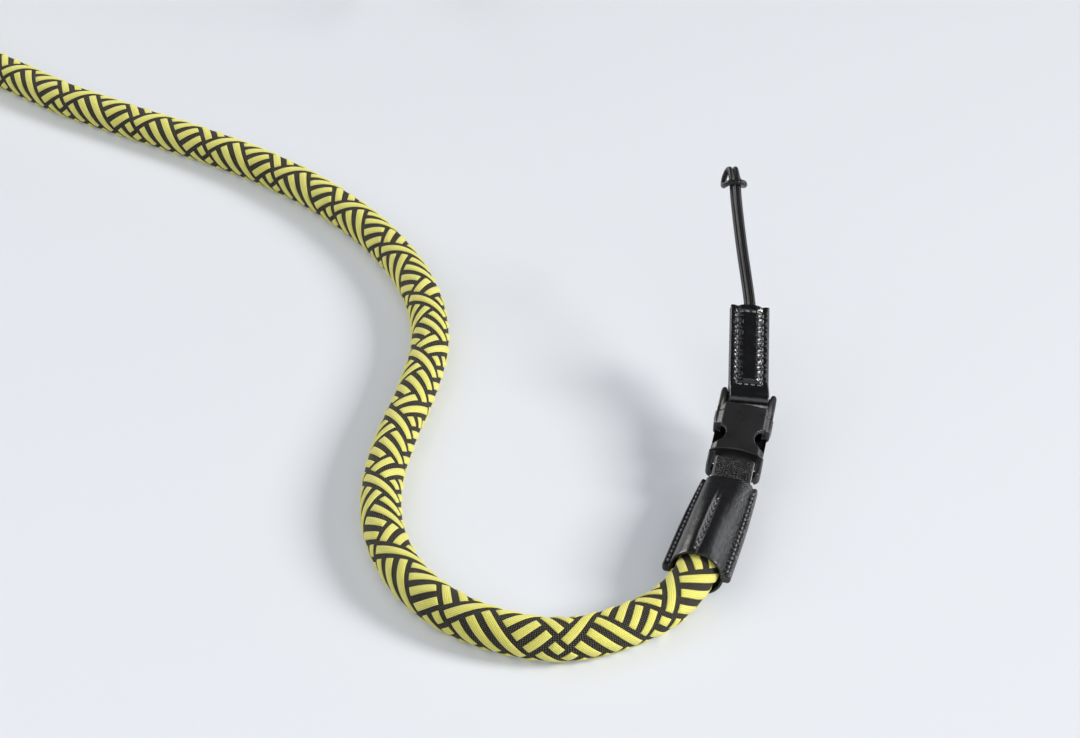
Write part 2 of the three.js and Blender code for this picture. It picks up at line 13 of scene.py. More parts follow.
import bmesh
import bpy
import numpy as np
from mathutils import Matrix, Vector

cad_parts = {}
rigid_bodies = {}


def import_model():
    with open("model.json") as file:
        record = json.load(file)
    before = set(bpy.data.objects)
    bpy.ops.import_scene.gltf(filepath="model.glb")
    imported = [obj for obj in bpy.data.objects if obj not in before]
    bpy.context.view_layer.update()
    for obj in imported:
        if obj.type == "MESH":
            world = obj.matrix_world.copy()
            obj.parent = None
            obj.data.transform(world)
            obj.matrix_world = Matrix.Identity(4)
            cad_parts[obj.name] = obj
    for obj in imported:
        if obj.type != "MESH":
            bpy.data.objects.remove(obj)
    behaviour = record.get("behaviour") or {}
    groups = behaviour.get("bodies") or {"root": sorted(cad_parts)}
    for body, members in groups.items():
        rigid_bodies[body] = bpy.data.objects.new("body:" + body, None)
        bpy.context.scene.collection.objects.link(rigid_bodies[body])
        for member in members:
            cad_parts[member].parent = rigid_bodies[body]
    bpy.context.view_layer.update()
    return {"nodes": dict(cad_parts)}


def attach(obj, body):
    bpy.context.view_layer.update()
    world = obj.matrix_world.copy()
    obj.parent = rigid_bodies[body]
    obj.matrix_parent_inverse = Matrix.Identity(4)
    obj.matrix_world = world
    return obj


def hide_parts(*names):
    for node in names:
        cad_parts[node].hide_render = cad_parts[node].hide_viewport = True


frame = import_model()
MM = 0.001
print("solids:", ", ".join(sorted(frame["nodes"])))

# %% [markdown]
# ## The view
# The picture looks down at 35 degrees from a little over half a metre away. A long lens keeps
# the far bend of the rope nearly as wide as the near one.

# %% View
lens = bpy.data.cameras.new("strap_camera")
lens.sensor_width = 36.0
lens.lens = 87.87
camera = bpy.data.objects.new("strap_camera", lens)
camera.location = (-0.049, -0.578, 0.345)
camera.rotation_euler = (math.radians(55.0), 0.0, 0.0)
bpy.context.collection.objects.link(camera)
bpy.context.scene.camera = camera
print("camera at", tuple(camera.location))

# %% [markdown]
# ## Shader maths as plain expressions
# A finish is a material whose nodes are written as sums and products. A wire stands for one
# socket, and arithmetic on wires adds the Math nodes, which reads better than a list of links.

# %% Wires and finishes
class Wire:
    """One output socket. Arithmetic on it adds Math nodes, with plain numbers on either side."""

    def __init__(self, finish, socket):
        self.finish = finish
        self.socket = socket

    def maths(self, operation, *values):
        settings = {"operation": operation}
        return self.finish.node("ShaderNodeMath", settings, dict(enumerate(values)))

    def __add__(self, other):
        return self.maths("ADD", self, other)

    def __sub__(self, other):
        return self.maths("SUBTRACT", self, other)

    def __rsub__(self, other):
        return self.maths("SUBTRACT", other, self)

    def __mul__(self, other):
        return self.maths("MULTIPLY", self, other)

    def sine(self):
        return self.maths("SINE", self)

    def size(self):
        return self.maths("ABSOLUTE", self)


class Finish:
    """A material on one Principled shader, with a method that adds any node."""

    def __init__(self, name, **constants):
        self.material = bpy.data.materials.new(name)
        self.material.use_nodes = True
        self.tree = self.material.node_tree
        self.shader = self.tree.nodes["Principled BSDF"]
        for socket, value in constants.items():
            self.shader.inputs[socket.replace("_", " ")].default_value = value

    def node(self, kind, settings=None, values=None, out=0):
        """Adds a node: its settings first, then the value or wire of each socket."""
        made = self.tree.nodes.new(kind)
        for name, value in (settings or {}).items():
            setattr(made, name, value)
        for name, value in (values or {}).items():
            self.feed(made.inputs[name], value)
        return Wire(self, made.outputs[out])

    def feed(self, socket, value):
        if isinstance(value, Wire):
            self.tree.links.new(value.socket, socket)
        else:
            socket.default_value = value

    def set(self, name, value):
        self.feed(self.shader.inputs[name], value)

    def own_map(self):
        """The piece's own map, in millimetres: along it, and across or round it."""
        return self.node("ShaderNodeTexCoord", out="UV")

    def along_and_across(self):
        """The two parts of the piece's own map, each as a wire."""
        own = {0: self.own_map()}
        return [self.node("ShaderNodeSeparateXYZ", None, own, out=axis) for axis in "XY"]

    def millimetres(self):
        """Object coordinates, scaled so that one unit is a millimetre."""
        place = self.node("ShaderNodeTexCoord", out="Object")
        settings = {"operation": "SCALE"}
        return self.node("ShaderNodeVectorMath", settings, {"Vector": place, "Scale": 1000.0})

    def noise(self, place, scale, detail=3.0, roughness=0.5):
        values = {"Vector": place, "Scale": scale, "Detail": detail, "Roughness": roughness}
        return self.node("ShaderNodeTexNoise", None, values)

    def cells(self, place, scale, feature="F1"):
        settings = {"feature": feature}
        return self.node("ShaderNodeTexVoronoi", settings, {"Vector": place, "Scale": scale})

    def stretch(self, place, factors):
        settings = {"operation": "MULTIPLY"}
        return self.node("ShaderNodeVectorMath", settings, {0: place, 1: factors})

    def span(self, value, low, high, to_low=0.0, to_high=1.0):
        """Carries a range of values on to another and clamps what lies outside."""
        values = {0: value, 1: low, 2: high, 3: to_low, 4: to_high}
        return self.node("ShaderNodeMapRange", None, values)

    def line(self, value, at, inner, outer):
        """A mask of a line: 1 within the inner distance of a value, 0 beyond the outer one."""
        return self.span((value - at).size(), inner, outer, 1.0, 0.0)

    def mix(self, share, first, second):
        return self.node("ShaderNodeMix", {"data_type": "RGBA"}, {0: share, 6: first, 7: second}, 2)

    def colour(self, share, first, second):
        self.set("Base Color", self.mix(share, first, second))

    def relief(self, height, depth):
        """A bump whose height of 1 stands depth millimetres out."""
        values = {"Strength": 1.0, "Distance": depth * MM, "Height": height}
        self.set("Normal", self.node("ShaderNodeBump", None, values))


print("helpers for finishes are ready")

# %% [markdown]
# ## The rope's finish
# The rope is plaited from flat bundles of yarn. The yellow ones lie in rows of parallel threads
# with a faint fuzz, and the black ones are a tighter, glossier yarn that glints in specks. Both
# finishes read the piece's own map, so the threads follow each bundle where the rope bends.

# %% Yarns
TURN = 2.0 * math.pi
THREAD_PITCH = 0.42
BEAD_PITCH = 0.92

yellow_yarn = Finish("yellow_yarn", Roughness=0.72, Specular_IOR_Level=0.35, Sheen_Weight=0.25)
own = yellow_yarn.own_map()
along, across = yellow_yarn.along_and_across()
slow = yellow_yarn.noise(yellow_yarn.millimetres(), 0.09, 2.0)
fibre = yellow_yarn.noise(yellow_yarn.stretch(own, (1.1, 7.0, 1.0)), 1.0, 4.0, 0.65)
thread = (across * (TURN / THREAD_PITCH)).sine() * 0.5 + 0.5
twist = (along * 7.5 + across * 5.0).sine() * 0.5 + 0.5
lemon = yellow_yarn.mix(slow, (0.68, 0.64, 0.12, 1.0), (0.78, 0.74, 0.22, 1.0))
shade = yellow_yarn.span(fibre * 0.7 + thread * 0.3, 0.25, 0.6)
yellow_yarn.colour(shade, (0.50, 0.46, 0.04, 1.0), lemon)
yellow_yarn.relief(thread * 0.6 + twist * 0.25 + fibre * 0.4, 0.09)

black_yarn = Finish("black_yarn", Specular_IOR_Level=0.3)
own = black_yarn.own_map()
along, across = black_yarn.along_and_across()
plus = ((along + across) * (TURN / BEAD_PITCH)).sine()
minus = ((along - across) * (TURN / BEAD_PITCH)).sine()
beads = (plus * minus) * 0.5 + 0.5
fuzz = black_yarn.noise(black_yarn.stretch(own, (3.0, 3.0, 1.0)), 1.0, 4.0, 0.7)
glint = black_yarn.span(beads * 0.6 + fuzz * 0.7, 0.68, 0.98)
black_yarn.colour(glint, (0.0045, 0.0036, 0.0022, 1.0), (0.15, 0.13, 0.09, 1.0))
black_yarn.set("Roughness", 0.75 - glint * 0.3)
black_yarn.relief(beads + fuzz * 0.4, 0.16)
print("yarn finishes:", yellow_yarn.material.name, black_yarn.material.name)

# %% [markdown]
# ## Leather, strap, plastic, cord and thread
# The caps and tabs are smooth black leather with a soft gloss, fine pores and shallow dents. The
# cap's right side is grainier, and pale specks are painted on it as painted glints of its sheen.
# The tab's fold is painted pale as a painted highlight where it catches the front light, and its
# cut edges a little paler, partly wear and partly painted highlight. The short strap has pebbled
# grain and a pale cut edge, and the right edge is painted much paler as a painted highlight. The
# buckle is satin moulded plastic, with a painted shade of matt near-black on the sunk ends of its
# arms. The loop cord is a tight glossy braid, and the stitches are waxed thread whose twisted
# ridges are painted pale as painted glints.

# %% Black finishes
CAP_RIGHT_TO = (6.0, 8.0)
CAP_GLINT_SPECKS_TO = (3.6, 6.4)
TAB_FOLD_AT = 29.6
TAB_EDGE_AT = (9.7, 20.3)
STRAP_EDGE_AT = (9.0, 19.1)

leather = Finish("cap_leather", Specular_IOR_Level=0.55)
place = leather.millimetres()
across = leather.along_and_across()[1]
dents = leather.noise(place, 0.35, 3.0)
grainy = leather.span(across, *CAP_RIGHT_TO, 1.0, 0.12)
pores = leather.cells(place, 1.9)
creases = leather.noise(leather.stretch(place, (2.2, 0.7, 2.2)), 1.5, 5.0, 0.65)
tone = leather.span(dents * 0.5 + creases * 0.5, 0.35, 0.65)
specks = leather.noise(place, 2.3, 2.0, 0.5)
# Painted glints: pale grey specks painted on the right of the right bulge, where its sheen falls.
painted_glint_specks = leather.span(specks, 0.52, 0.64) * leather.span(across, *CAP_GLINT_SPECKS_TO, 0.75, 0.0)
smooth_black = leather.mix(tone, (0.0035, 0.0033, 0.0037, 1.0), (0.008, 0.0076, 0.008, 1.0))
leather.colour(painted_glint_specks, smooth_black, (0.13, 0.13, 0.135, 1.0))
leather.set("Roughness", leather.span(creases, 0.3, 0.7, 0.2, 0.28))
leather.relief(dents * 1.6 + creases * 0.3 + (pores + specks * 1.6) * grainy * 2.2, 0.06)

tab_leather = Finish("tab_leather", Specular_IOR_Level=0.6)
place = tab_leather.millimetres()
along, across = tab_leather.along_and_across()
dents = tab_leather.noise(place, 0.5, 3.0)
pores = tab_leather.cells(place, 3.4)
fold = tab_leather.line(along, TAB_FOLD_AT, 1.2, 1.6)
first, second = [tab_leather.line(across, at, 0.45, 0.8) for at in TAB_EDGE_AT]
edges = first + second
fuzz = tab_leather.noise(place, 5.0, 4.0, 0.7)
# Painted highlight: the fold is painted near white where its crest catches the front light, and the
# edges a little paler, partly wear and partly painted highlight.
wear_and_highlight = (fold + edges * 0.12) * tab_leather.span(fuzz, 0.42, 0.62, 0.25, 1.0)
tab_leather.colour(wear_and_highlight, (0.0030, 0.0029, 0.0034, 1.0), (0.95, 0.94, 0.94, 1.0))
tab_leather.set("Roughness", tab_leather.span(dents, 0.3, 0.7, 0.15, 0.24) + wear_and_highlight * 0.4)
tab_leather.relief(dents * 1.2 + pores * 0.5 + fuzz * wear_and_highlight, 0.04)

grain_leather = Finish("grained_leather", Specular_IOR_Level=0.25)
place = grain_leather.millimetres()
across = grain_leather.along_and_across()[1]
pebbles = grain_leather.cells(place, 2.4, "SMOOTH_F1")
specks = grain_leather.noise(place, 5.0, 4.0, 0.6)
between = grain_leather.span(pebbles, 0.08, 0.5)
right, left = [grain_leather.line(across, at, 0.45, 0.75) for at in STRAP_EDGE_AT]
bright = grain_leather.span(specks, 0.54, 0.66)
pebbled = grain_leather.mix(between, (0.004, 0.004, 0.0045, 1.0), (0.001, 0.001, 0.001, 1.0))
specked = grain_leather.mix(bright * 0.9, pebbled, (0.22, 0.22, 0.22, 1.0))
# The cut edges are pale leather, and the right one is painted much paler as a painted highlight
# where the key light falls.
pale_and_lit_edges = right * 0.9 + left * 0.2
grain_leather.colour(pale_and_lit_edges, specked, (0.55, 0.55, 0.55, 1.0))
grain_leather.set("Roughness", grain_leather.span(specks, 0.3, 0.7, 0.24, 0.36))
grain_leather.relief(specks * 0.4 - pebbles * 1.2, 0.16)

plastic = Finish("buckle_plastic", Specular_IOR_Level=0.42)
place = plastic.millimetres()
spark = plastic.noise(place, 5.0, 3.0, 0.6)
worn = plastic.noise(place, 0.25, 3.0)
plastic.colour(worn, (0.0085, 0.008, 0.0085, 1.0), (0.016, 0.015, 0.0155, 1.0))
plastic.set("Roughness", plastic.span(spark * 0.5 + worn * 0.5, 0.3, 0.7, 0.24, 0.38))
plastic.relief(spark, 0.02)

# Painted shade: a matt near-black for the sunk ends of the plug's arms, so that the windows look
# deep.
painted_shade_plastic = Finish("buckle_painted_shade", Roughness=0.85, Specular_IOR_Level=0.1)
painted_shade_plastic.set("Base Color", (0.002, 0.002, 0.002, 1.0))

braid = Finish("braided_cord", Specular_IOR_Level=0.35)
along, across = braid.along_and_across()
over = (along * 4.4 + across * 3.08).sine()
under = (along * 4.4 - across * 3.08).sine()
weave = (over * under) * 0.5 + 0.5
braid.colour(weave, (0.002, 0.002, 0.002, 1.0), (0.010, 0.0095, 0.010, 1.0))
braid.set("Roughness", 0.36 - weave * 0.14)
braid.relief(weave, 0.12)

thread_wax = Finish("waxed_thread", Specular_IOR_Level=0.7, Coat_Weight=0.6, Coat_Roughness=0.12)
along, across = thread_wax.along_and_across()
# The twist's ridges give the relief, and the colour there is painted pale as painted glints on the
# black thread.
ridges_and_glints = (along * 9.0 + across * 6.0).sine() * 0.5 + 0.5
thread_wax.colour(ridges_and_glints, (0.02, 0.02, 0.02, 1.0), (0.24, 0.24, 0.24, 1.0))
thread_wax.set("Roughness", 0.42 - ridges_and_glints * 0.14)
thread_wax.relief(ridges_and_glints, 0.06)
print("black finishes: leathers, plastic, braid and thread")

# %% [markdown]
# ## Building meshes from arrays
# Every new piece is made of tubes that are closed at both ends: rings of points, each ring with
# the same number of sides. One helper numbers the points of any stack of such tubes and writes
# the faces. The sign of the volume says whether they point out, and turns them if they don't.

# %% From rings to a mesh
def add_object(name, mesh):
    """Links an object with the mesh, at the origin, and says how many triangles it has."""
    piece = bpy.data.objects.new(name, mesh)
    bpy.context.collection.objects.link(piece)
    mesh.calc_loop_triangles()
    print(f"{name}: {len(mesh.loop_triangles)} triangles")
    return piece


def tubes(points, uv, finish=0):
    """Faces of a stack of closed tubes. Points: tube, ring, side, xyz. Map: one more side, where
    the seam closes. A face joins a side of one ring to the same side of the next, and each
    tube's first and last rings are filled by one flat face."""
    stack, rings, sides = points.shape[:3]
    number = np.arange(stack * rings * sides).reshape(stack, rings, sides)
    after = np.roll(number, -1, axis=2)
    quads = np.stack([number[:, :-1], after[:, :-1], after[:, 1:], number[:, 1:]], axis=-1)
    quad_uv = np.stack([uv[:, :-1, :-1], uv[:, :-1, 1:], uv[:, 1:, 1:], uv[:, 1:, :-1]], axis=-2)
    ends = np.concatenate([number[:, 0, ::-1], number[:, -1]])
    end_uv = np.concatenate([uv[:, 0, -2::-1], uv[:, -1, :-1]])
    flat = points.reshape(-1, 3)
    corners = flat[quads.reshape(-1, 4)]
    cross = np.cross(corners[:, 2] - corners[:, 0], corners[:, 3] - corners[:, 1])
    volume = (corners.mean(axis=1) * cross).sum() / 6.0
    return {
        "points": flat,
        "faces": quads.reshape(-1, 4).tolist() + ends.tolist(),
        "uv": np.concatenate([quad_uv.reshape(-1, 2), end_uv.reshape(-1, 2)]),
        "finish": finish,
        "turned": volume < 0.0,
    }


def make_piece(name, parts, finishes):
    """One object from parts in millimetres, each part with its own place in the list of
    finishes. A part whose volume is negative has its faces turned round."""
    points, faces, maps, slots = [], [], [], []
    count = 0
    for part in parts:
        offset = [[count + number for number in face] for face in part["faces"]]
        sizes = np.array([len(face) for face in part["faces"]])
        uv = part["uv"]
        if part["turned"]:
            offset = [face[::-1] for face in offset]
            starts = np.repeat(np.cumsum(sizes) - sizes, sizes)
            back = np.repeat(sizes, sizes) - 1 - (np.arange(sizes.sum()) - starts)
            uv = uv[starts + back]
        points.append(part["points"])
        faces += offset
        maps.append(uv)
        slots.append(np.full(len(part["faces"]), part["finish"]))
        count += len(part["points"])
    mesh = bpy.data.meshes.new(name)
    mesh.from_pydata((np.concatenate(points) * MM).tolist(), [], faces)
    mesh.uv_layers.new(name="UVMap").data.foreach_set("uv", np.concatenate(maps).ravel())
    mesh.polygons.foreach_set("material_index", np.concatenate(slots))
    mesh.polygons.foreach_set("use_smooth", np.ones(len(faces), dtype=bool))
    for finish in finishes:
        mesh.materials.append(finish.material)
    mesh.update()
    return add_object(name, mesh)


print("helpers for meshes are ready")

# %% [markdown]
# ## The rope's route
# The rope lies flat on the floor in one S bend and a wide turn. Its centre line is a smooth
# curve through the same points as the solid's. The curve is a centripetal Catmull-Rom spline,
# which neither loops nor overshoots between uneven points.

# %% Route of the rope
ROPE_RADIUS = 5.0
ROUTE_STEPS = 24
FLAT = -36.0
LYING = [
    (-24.1, -129.2), (-42.7, -137.4), (-61.4, -133.0), (-76.3, -120.2), (-84.4, -102.5),
    (-86.4, -82.4), (-83.7, -62.1), (-79.4, -42.0), (-77.1, -22.2), (-79.4, -3.0),
    (-85.8, 15.3), (-95.7, 32.6), (-108.4, 48.3), (-123.2, 62.3), (-139.3, 74.1),
    (-156.2, 84.6), (-173.3, 94.8), (-190.1, 105.7), (-205.9, 118.5), (-222.5, 132.5),
    (-233.8, 149.5), (-240.5, 169.5), (-242.5, 190.8), (-242.5, 212.0), (-242.0, 233.0),
    (-240.0, 254.0), (-235.0, 274.5), (-225.0, 293.0), (-209.5, 306.5), (-190.0, 313.5),
    (-169.0, 313.5), (-149.5, 307.0), (-132.5, 295.5), (-119.5, 280.0),
]
ROPE_ROUTE = np.array([
    (-12.0, -111.25, -33.66), (-13.5, -116.0, -34.0), (-17.6, -122.8, -35.1),
    *[(x, y, FLAT) for x, y in LYING],
    (-109.5, 263.5, -35.2), (-106.1, 255.2, -34.0), (-104.2, 250.55, -33.64),
])


def smooth_route(route, steps):
    """Centripetal Catmull-Rom: between two points runs the cubic whose slopes come from its
    neighbours, each weighted by the root of its distance. The ends are mirrored outwards."""
    padded = np.vstack([2 * route[0] - route[1], route, 2 * route[-1] - route[-2]])
    before, start, stop, beyond = (padded[k : len(padded) - 3 + k, None] for k in range(4))
    gap_0, gap_1, gap_2 = (
        np.sqrt(np.linalg.norm(b - a, axis=-1, keepdims=True))
        for a, b in ((before, start), (start, stop), (stop, beyond))
    )
    slope_1 = (start - before) / gap_0 - (stop - before) / (gap_0 + gap_1) + (stop - start) / gap_1
    slope_2 = (stop - start) / gap_1 - (beyond - start) / (gap_1 + gap_2) + (beyond - stop) / gap_2
    slope_1, slope_2 = slope_1 * gap_1, slope_2 * gap_1
    t = (np.arange(steps) / steps)[None, :, None]
    curve = start + slope_1 * t
    curve = curve + (3 * (stop - start) - 2 * slope_1 - slope_2) * t**2
    curve = curve + (2 * (start - stop) + slope_1 + slope_2) * t**3
    return np.vstack([curve.reshape(-1, 3), route[-1]])


def arc_lengths(curve):
    """Length along a curve up to each of its points."""
    return np.concatenate([[0.0], np.cumsum(np.linalg.norm(np.diff(curve, axis=0), axis=1))])


def unit(vectors):
    return vectors / np.linalg.norm(vectors, axis=-1, keepdims=True)


rope_curve = smooth_route(ROPE_ROUTE, ROUTE_STEPS)[::-1]
rope_arc = arc_lengths(rope_curve)
rope_length = rope_arc[-1]
print("rope length:", round(rope_length, 1), "mm")

# %% [markdown]
# ## The plait
# Seen unrolled, the rope is a lattice of two sets of yarn bundles that cross at 45 degrees. At
# each crossing one set lies on top, and a chart of five by six crossings says which: it repeats
# twice round the rope and every 26 mm along it. Where one bundle stays on top over two or more
# crossings it shows as one long stripe. Painted on a tube this would look flat at the rope's
# edge, so each stripe is a real strip of yarn that dives under at both ends.

# %% Chart and stripes
CHART = ["BAABB", "BABBA", "ABBBA", "BBBBA", "BAAAA", "AAABA"]
BUNDLE = 3.70
CELL = math.sqrt(2.0) * BUNDLE
CHART_SHIFT = 12.2
CHART_TURN = 1.5
CHART_POINT = 20
anchor = np.argmin(np.linalg.norm(rope_curve - ROPE_ROUTE[CHART_POINT], axis=1))
chart_start = rope_arc[anchor]


def on_top(i, j):
    """Which set is on top where bundle i of one set crosses bundle j of the other."""
    return CHART[(i - j) % 6][((i + j) % 10) // 2]


def crossing_at(distance):
    """The sum of the two bundles' numbers that cross at a distance along the rope."""
    return 2.0 * (distance - chart_start) / CELL - CHART_SHIFT


def find_stripes():
    """Each set's stripes, once round the rope: the crossing (i, j) where one begins, and how many
    crossings it covers."""
    found = {"A": [], "B": []}
    low = math.floor(crossing_at(0.0)) - 10
    high = math.ceil(crossing_at(rope_length)) + 10
    for total in range(low, high):
        for turn in range(-6, 6):
            if (total + turn) % 2:
                continue
            i, j = (total + turn) // 2, (total - turn) // 2
            for kind, step in (("A", (0, 1)), ("B", (1, 0))):
                if on_top(i, j) != kind or on_top(i - step[0], j - step[1]) == kind:
                    continue
                crossings = 1
                while on_top(i + crossings * step[0], j + crossings * step[1]) == kind:
                    crossings += 1
                found[kind].append((i, j, crossings))
    return found


stripes = find_stripes()
print("stripes:", {kind: len(rows) for kind, rows in stripes.items()})

# %% Points on the rope
def ease(share):
    """A smooth step from 0 to 1."""
    share = np.clip(share, 0.0, 1.0)
    return share * share * (3.0 - 2.0 * share)


rope_forward = unit(np.gradient(rope_curve, axis=0))
rope_side = unit(np.cross([0.0, 0.0, 1.0], rope_forward))
rope_up = np.cross(rope_forward, rope_side)


def on_rope(distance, turn, radius):
    """A point from its distance along the rope and its way round, both in mm: the centre line's
    point, plus the radius along a direction that turns from the upper side to the left."""
    centre, side, up = (
        np.stack([np.interp(distance, rope_arc, table[:, k]) for k in range(3)], axis=-1)
        for table in (rope_curve, rope_side, rope_up)
    )
    angle = (turn / ROPE_RADIUS)[..., None]
    return centre + radius[..., None] * (np.cos(angle) * unit(up) + np.sin(angle) * unit(side))


STRIPE_WIDE = np.array([-1.0, -0.93, -0.62, 0.0, 0.62, 0.93, 1.0, 0.6, -0.6])
STRIPE_HIGH = np.array([0.1, 0.62, 0.94, 1.0, 0.94, 0.62, 0.1, -0.7, -0.7])
STRIPE_HALF = 0.272
STRIPE_END = 0.385
STRIPE_RISE = 0.3
CORE_RADIUS = 4.72
CORE_RINGS = 520
CORE_SIDES = 28
CORE_SHORT = 0.3
STRIPES_SHORT = 0.6
PLAIT_DRIFT = 4.0
DRIFT_FROM = rope_length - 55.0
DRIFT_TO = rope_length - 6.0


def stripe_part(rows, kind):
    """Strips of yarn with the same number of crossings. Along a strip its height is a flat arch
    that falls to the core at both ends, and across it a rounded flat section. Near the cap the
    plait is drawn a little way along the rope, as it was pulled when the cap was sewn."""
    rows = np.array(rows, dtype=float)
    crossings = rows[0, 2]
    rings = int(3 * crossings) + 4
    share = np.linspace(0.0, 1.0, rings)
    share = 0.5 - 0.5 * np.cos(math.pi * share) * (1.0 - 0.35 * np.sin(math.pi * share) ** 2)
    first = (rows[:, 1] if kind == "A" else rows[:, 0]) - STRIPE_END
    last = first + crossings - 1.0 + 2.0 * STRIPE_END
    fixed = rows[:, 0] if kind == "A" else rows[:, 1]
    first = np.maximum(first, crossing_at(STRIPES_SHORT) - fixed)
    last = np.minimum(last, crossing_at(rope_length + PLAIT_DRIFT - STRIPES_SHORT) - fixed)
    kept = last - first > 0.5
    fixed, first, last = fixed[kept], first[kept], last[kept]
    running = first[:, None] + (last - first)[:, None] * share[None, :]
    wide = STRIPE_WIDE[None, None, :] * STRIPE_HALF
    run, cross = np.broadcast_arrays(running[:, :, None], fixed[:, None, None] + wide)
    i, j = (cross, run) if kind == "A" else (run, cross)
    distance = chart_start + CELL * (i + j + CHART_SHIFT) / 2.0
    distance = distance - PLAIT_DRIFT * ease((distance - DRIFT_FROM) / (DRIFT_TO - DRIFT_FROM))
    turn = CELL * (i - j - CHART_TURN) / 2.0
    arch = np.clip(1.0 - np.abs(2.0 * share - 1.0) ** (6.0 * crossings), 0.0, 1.0)[None, :, None]
    height = STRIPE_HIGH[None, None, :] * (0.25 + 0.75 * arch) * STRIPE_RISE
    points = on_rope(distance, turn, CORE_RADIUS + height)
    along_map = (running - first[:, None]) * BUNDLE
    across_map = np.append(STRIPE_WIDE, STRIPE_WIDE[0]) * STRIPE_HALF * BUNDLE
    offset = (fixed * 7.3)[:, None, None]
    uv = np.stack(np.broadcast_arrays(along_map[:, :, None] + offset, across_map[None, None, :]), -1)
    return tubes(points, uv, finish=1)


def core_part(rings, sides):
    """The dark core under the stripes: a plain tube whose map is the lattice's own."""
    distance = np.linspace(CORE_SHORT, rope_length - CORE_SHORT, rings)[:, None]
    angle = np.linspace(0.0, TURN, sides + 1)[None, :]
    turn = angle * ROPE_RADIUS
    grid = np.broadcast_arrays(distance, turn)
    points = on_rope(grid[0][:, :-1], grid[1][:, :-1], np.full((rings, sides), CORE_RADIUS))
    return tubes(points[None], np.stack(grid, axis=-1)[None], finish=0)


parts = [core_part(CORE_RINGS, CORE_SIDES)]
for kind, rows in stripes.items():
    for crossings in sorted({row[2] for row in rows}):
        parts.append(stripe_part([row for row in rows if row[2] == crossings], kind))
rope = make_piece("plaited_rope", parts, [black_yarn, yellow_yarn])
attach(rope, "root")
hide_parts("rope")

# %% [markdown]
# ## Where each end's pieces are
# From the rope's end up to the loop, each run has its own heading, climb and roll in degrees. A
# run's frame has X across the width, Y up the run and Z out of the upper face, so that a piece is
# drawn flat and then put in its place. These are the same sums as in the solids.

# %% Frames of the runs
NEAR_RUNS = {
    "cap": (-17.6, 3.9, 0.0),
    "buckle": (-11.9, 9.0, 5.0),
    "tab": (-3.5, 23.5, 6.5),
    "cord": (4.65, 25.5, 3.0),
}
FAR_RUNS = {
    "cap": (-157.5, 4.1, 0.0),
    "buckle": (-157.5, 9.0, 0.0),
    "tab": (-157.5, 23.5, 0.0),
    "cord": (-157.5, 25.2, 0.0),
}
GAP = 0.3
CAP_LENGTH = 30.7
ROPE_SEAT = 6.2
STRAP_NECK = 2.4
FRAME_WIDTH = 13.1
FRAME_THICKNESS = 3.6
PLUG_BAR = 1.8
PLUG_BAR_START = 25.05
TAB_PLY = 1.2
TAB_LENGTH = 28.85
CORD_LENGTH = 39.18


def axes(run):
    """Rows: across, along and out, from a heading, a climb and a roll in degrees."""
    turn, climb, roll = np.radians(run)
    along = np.array([-np.sin(turn) * np.cos(climb), np.cos(turn) * np.cos(climb), np.sin(climb)])
    level = unit(np.cross(along, [0.0, 0.0, 1.0]))
    across = np.cos(roll) * level + np.sin(roll) * np.cross(along, level)
    return np.stack([across, along, np.cross(across, along)])


class Place:
    """A run's frame: points drawn in it are carried to the object's own frame and back."""

    def __init__(self, run, origin):
        self.axes = axes(run)
        self.origin = origin

    def out(self, points):
        return np.asarray(points) @ self.axes + self.origin

    def into(self, points):
        return (np.asarray(points) - self.origin) @ self.axes.T


def stand_off(runs):
    """Gap between the cap's top and the buckle, so that its turned, tipped frame stands clear."""
    climb = math.radians(runs["buckle"][1] - runs["cap"][1])
    turn = math.radians(runs["buckle"][0] - runs["cap"][0])
    lean = FRAME_THICKNESS / 2 * abs(math.sin(climb))
    return GAP + STRAP_NECK + lean + FRAME_WIDTH / 2 * abs(math.sin(turn))


def end_places(rope_end, runs):
    """Frames of the cap, buckle, tab and eye, each begun where the one before it ends."""
    mouth = rope_end - ROPE_SEAT * axes(runs["cap"])[1]
    cap = Place(runs["cap"], mouth)
    stand = stand_off(runs)
    buckle = Place(runs["buckle"], cap.out([0, CAP_LENGTH, 0]) + stand * axes(runs["buckle"])[1])
    bar = buckle.out([0, PLUG_BAR_START + PLUG_BAR / 2, 0])
    tab = Place(runs["tab"], bar - (PLUG_BAR / 2 + GAP + TAB_PLY) * axes(runs["tab"])[1])
    top = tab.out([0, TAB_LENGTH, 0])
    eye = Place(runs["cord"], top + CORD_LENGTH * axes(runs["cord"])[1])
    return {"cap": cap, "buckle": buckle, "tab": tab, "eye": eye, "stand_off": stand}


ends = {
    "near": end_places(ROPE_ROUTE[0], NEAR_RUNS),
    "far": end_places(ROPE_ROUTE[-1], FAR_RUNS),
}
for side, place in ends.items():
    print(side, "eye at", place["eye"].origin.round(2))

# %% [markdown]
# ## Loop cords
# A thin braided cord comes out of the tab's top as two strands and is hitched round the eye of
# whatever the strap carries. It is a tube along the solid's own route, which turns in every
# direction at the hitch, so the ring's frame is carried along without twisting.

# %% Loop cords
CORD_RADIUS = 0.72
CORD_SIDES = 14
CORD_STEPS = 14
CORD_SEAT = 9.7
HITCH_ROOM = 0.65
HITCH_PITCH = 1.6
STRAND = 0.74
EYE_WIRE = 1.8


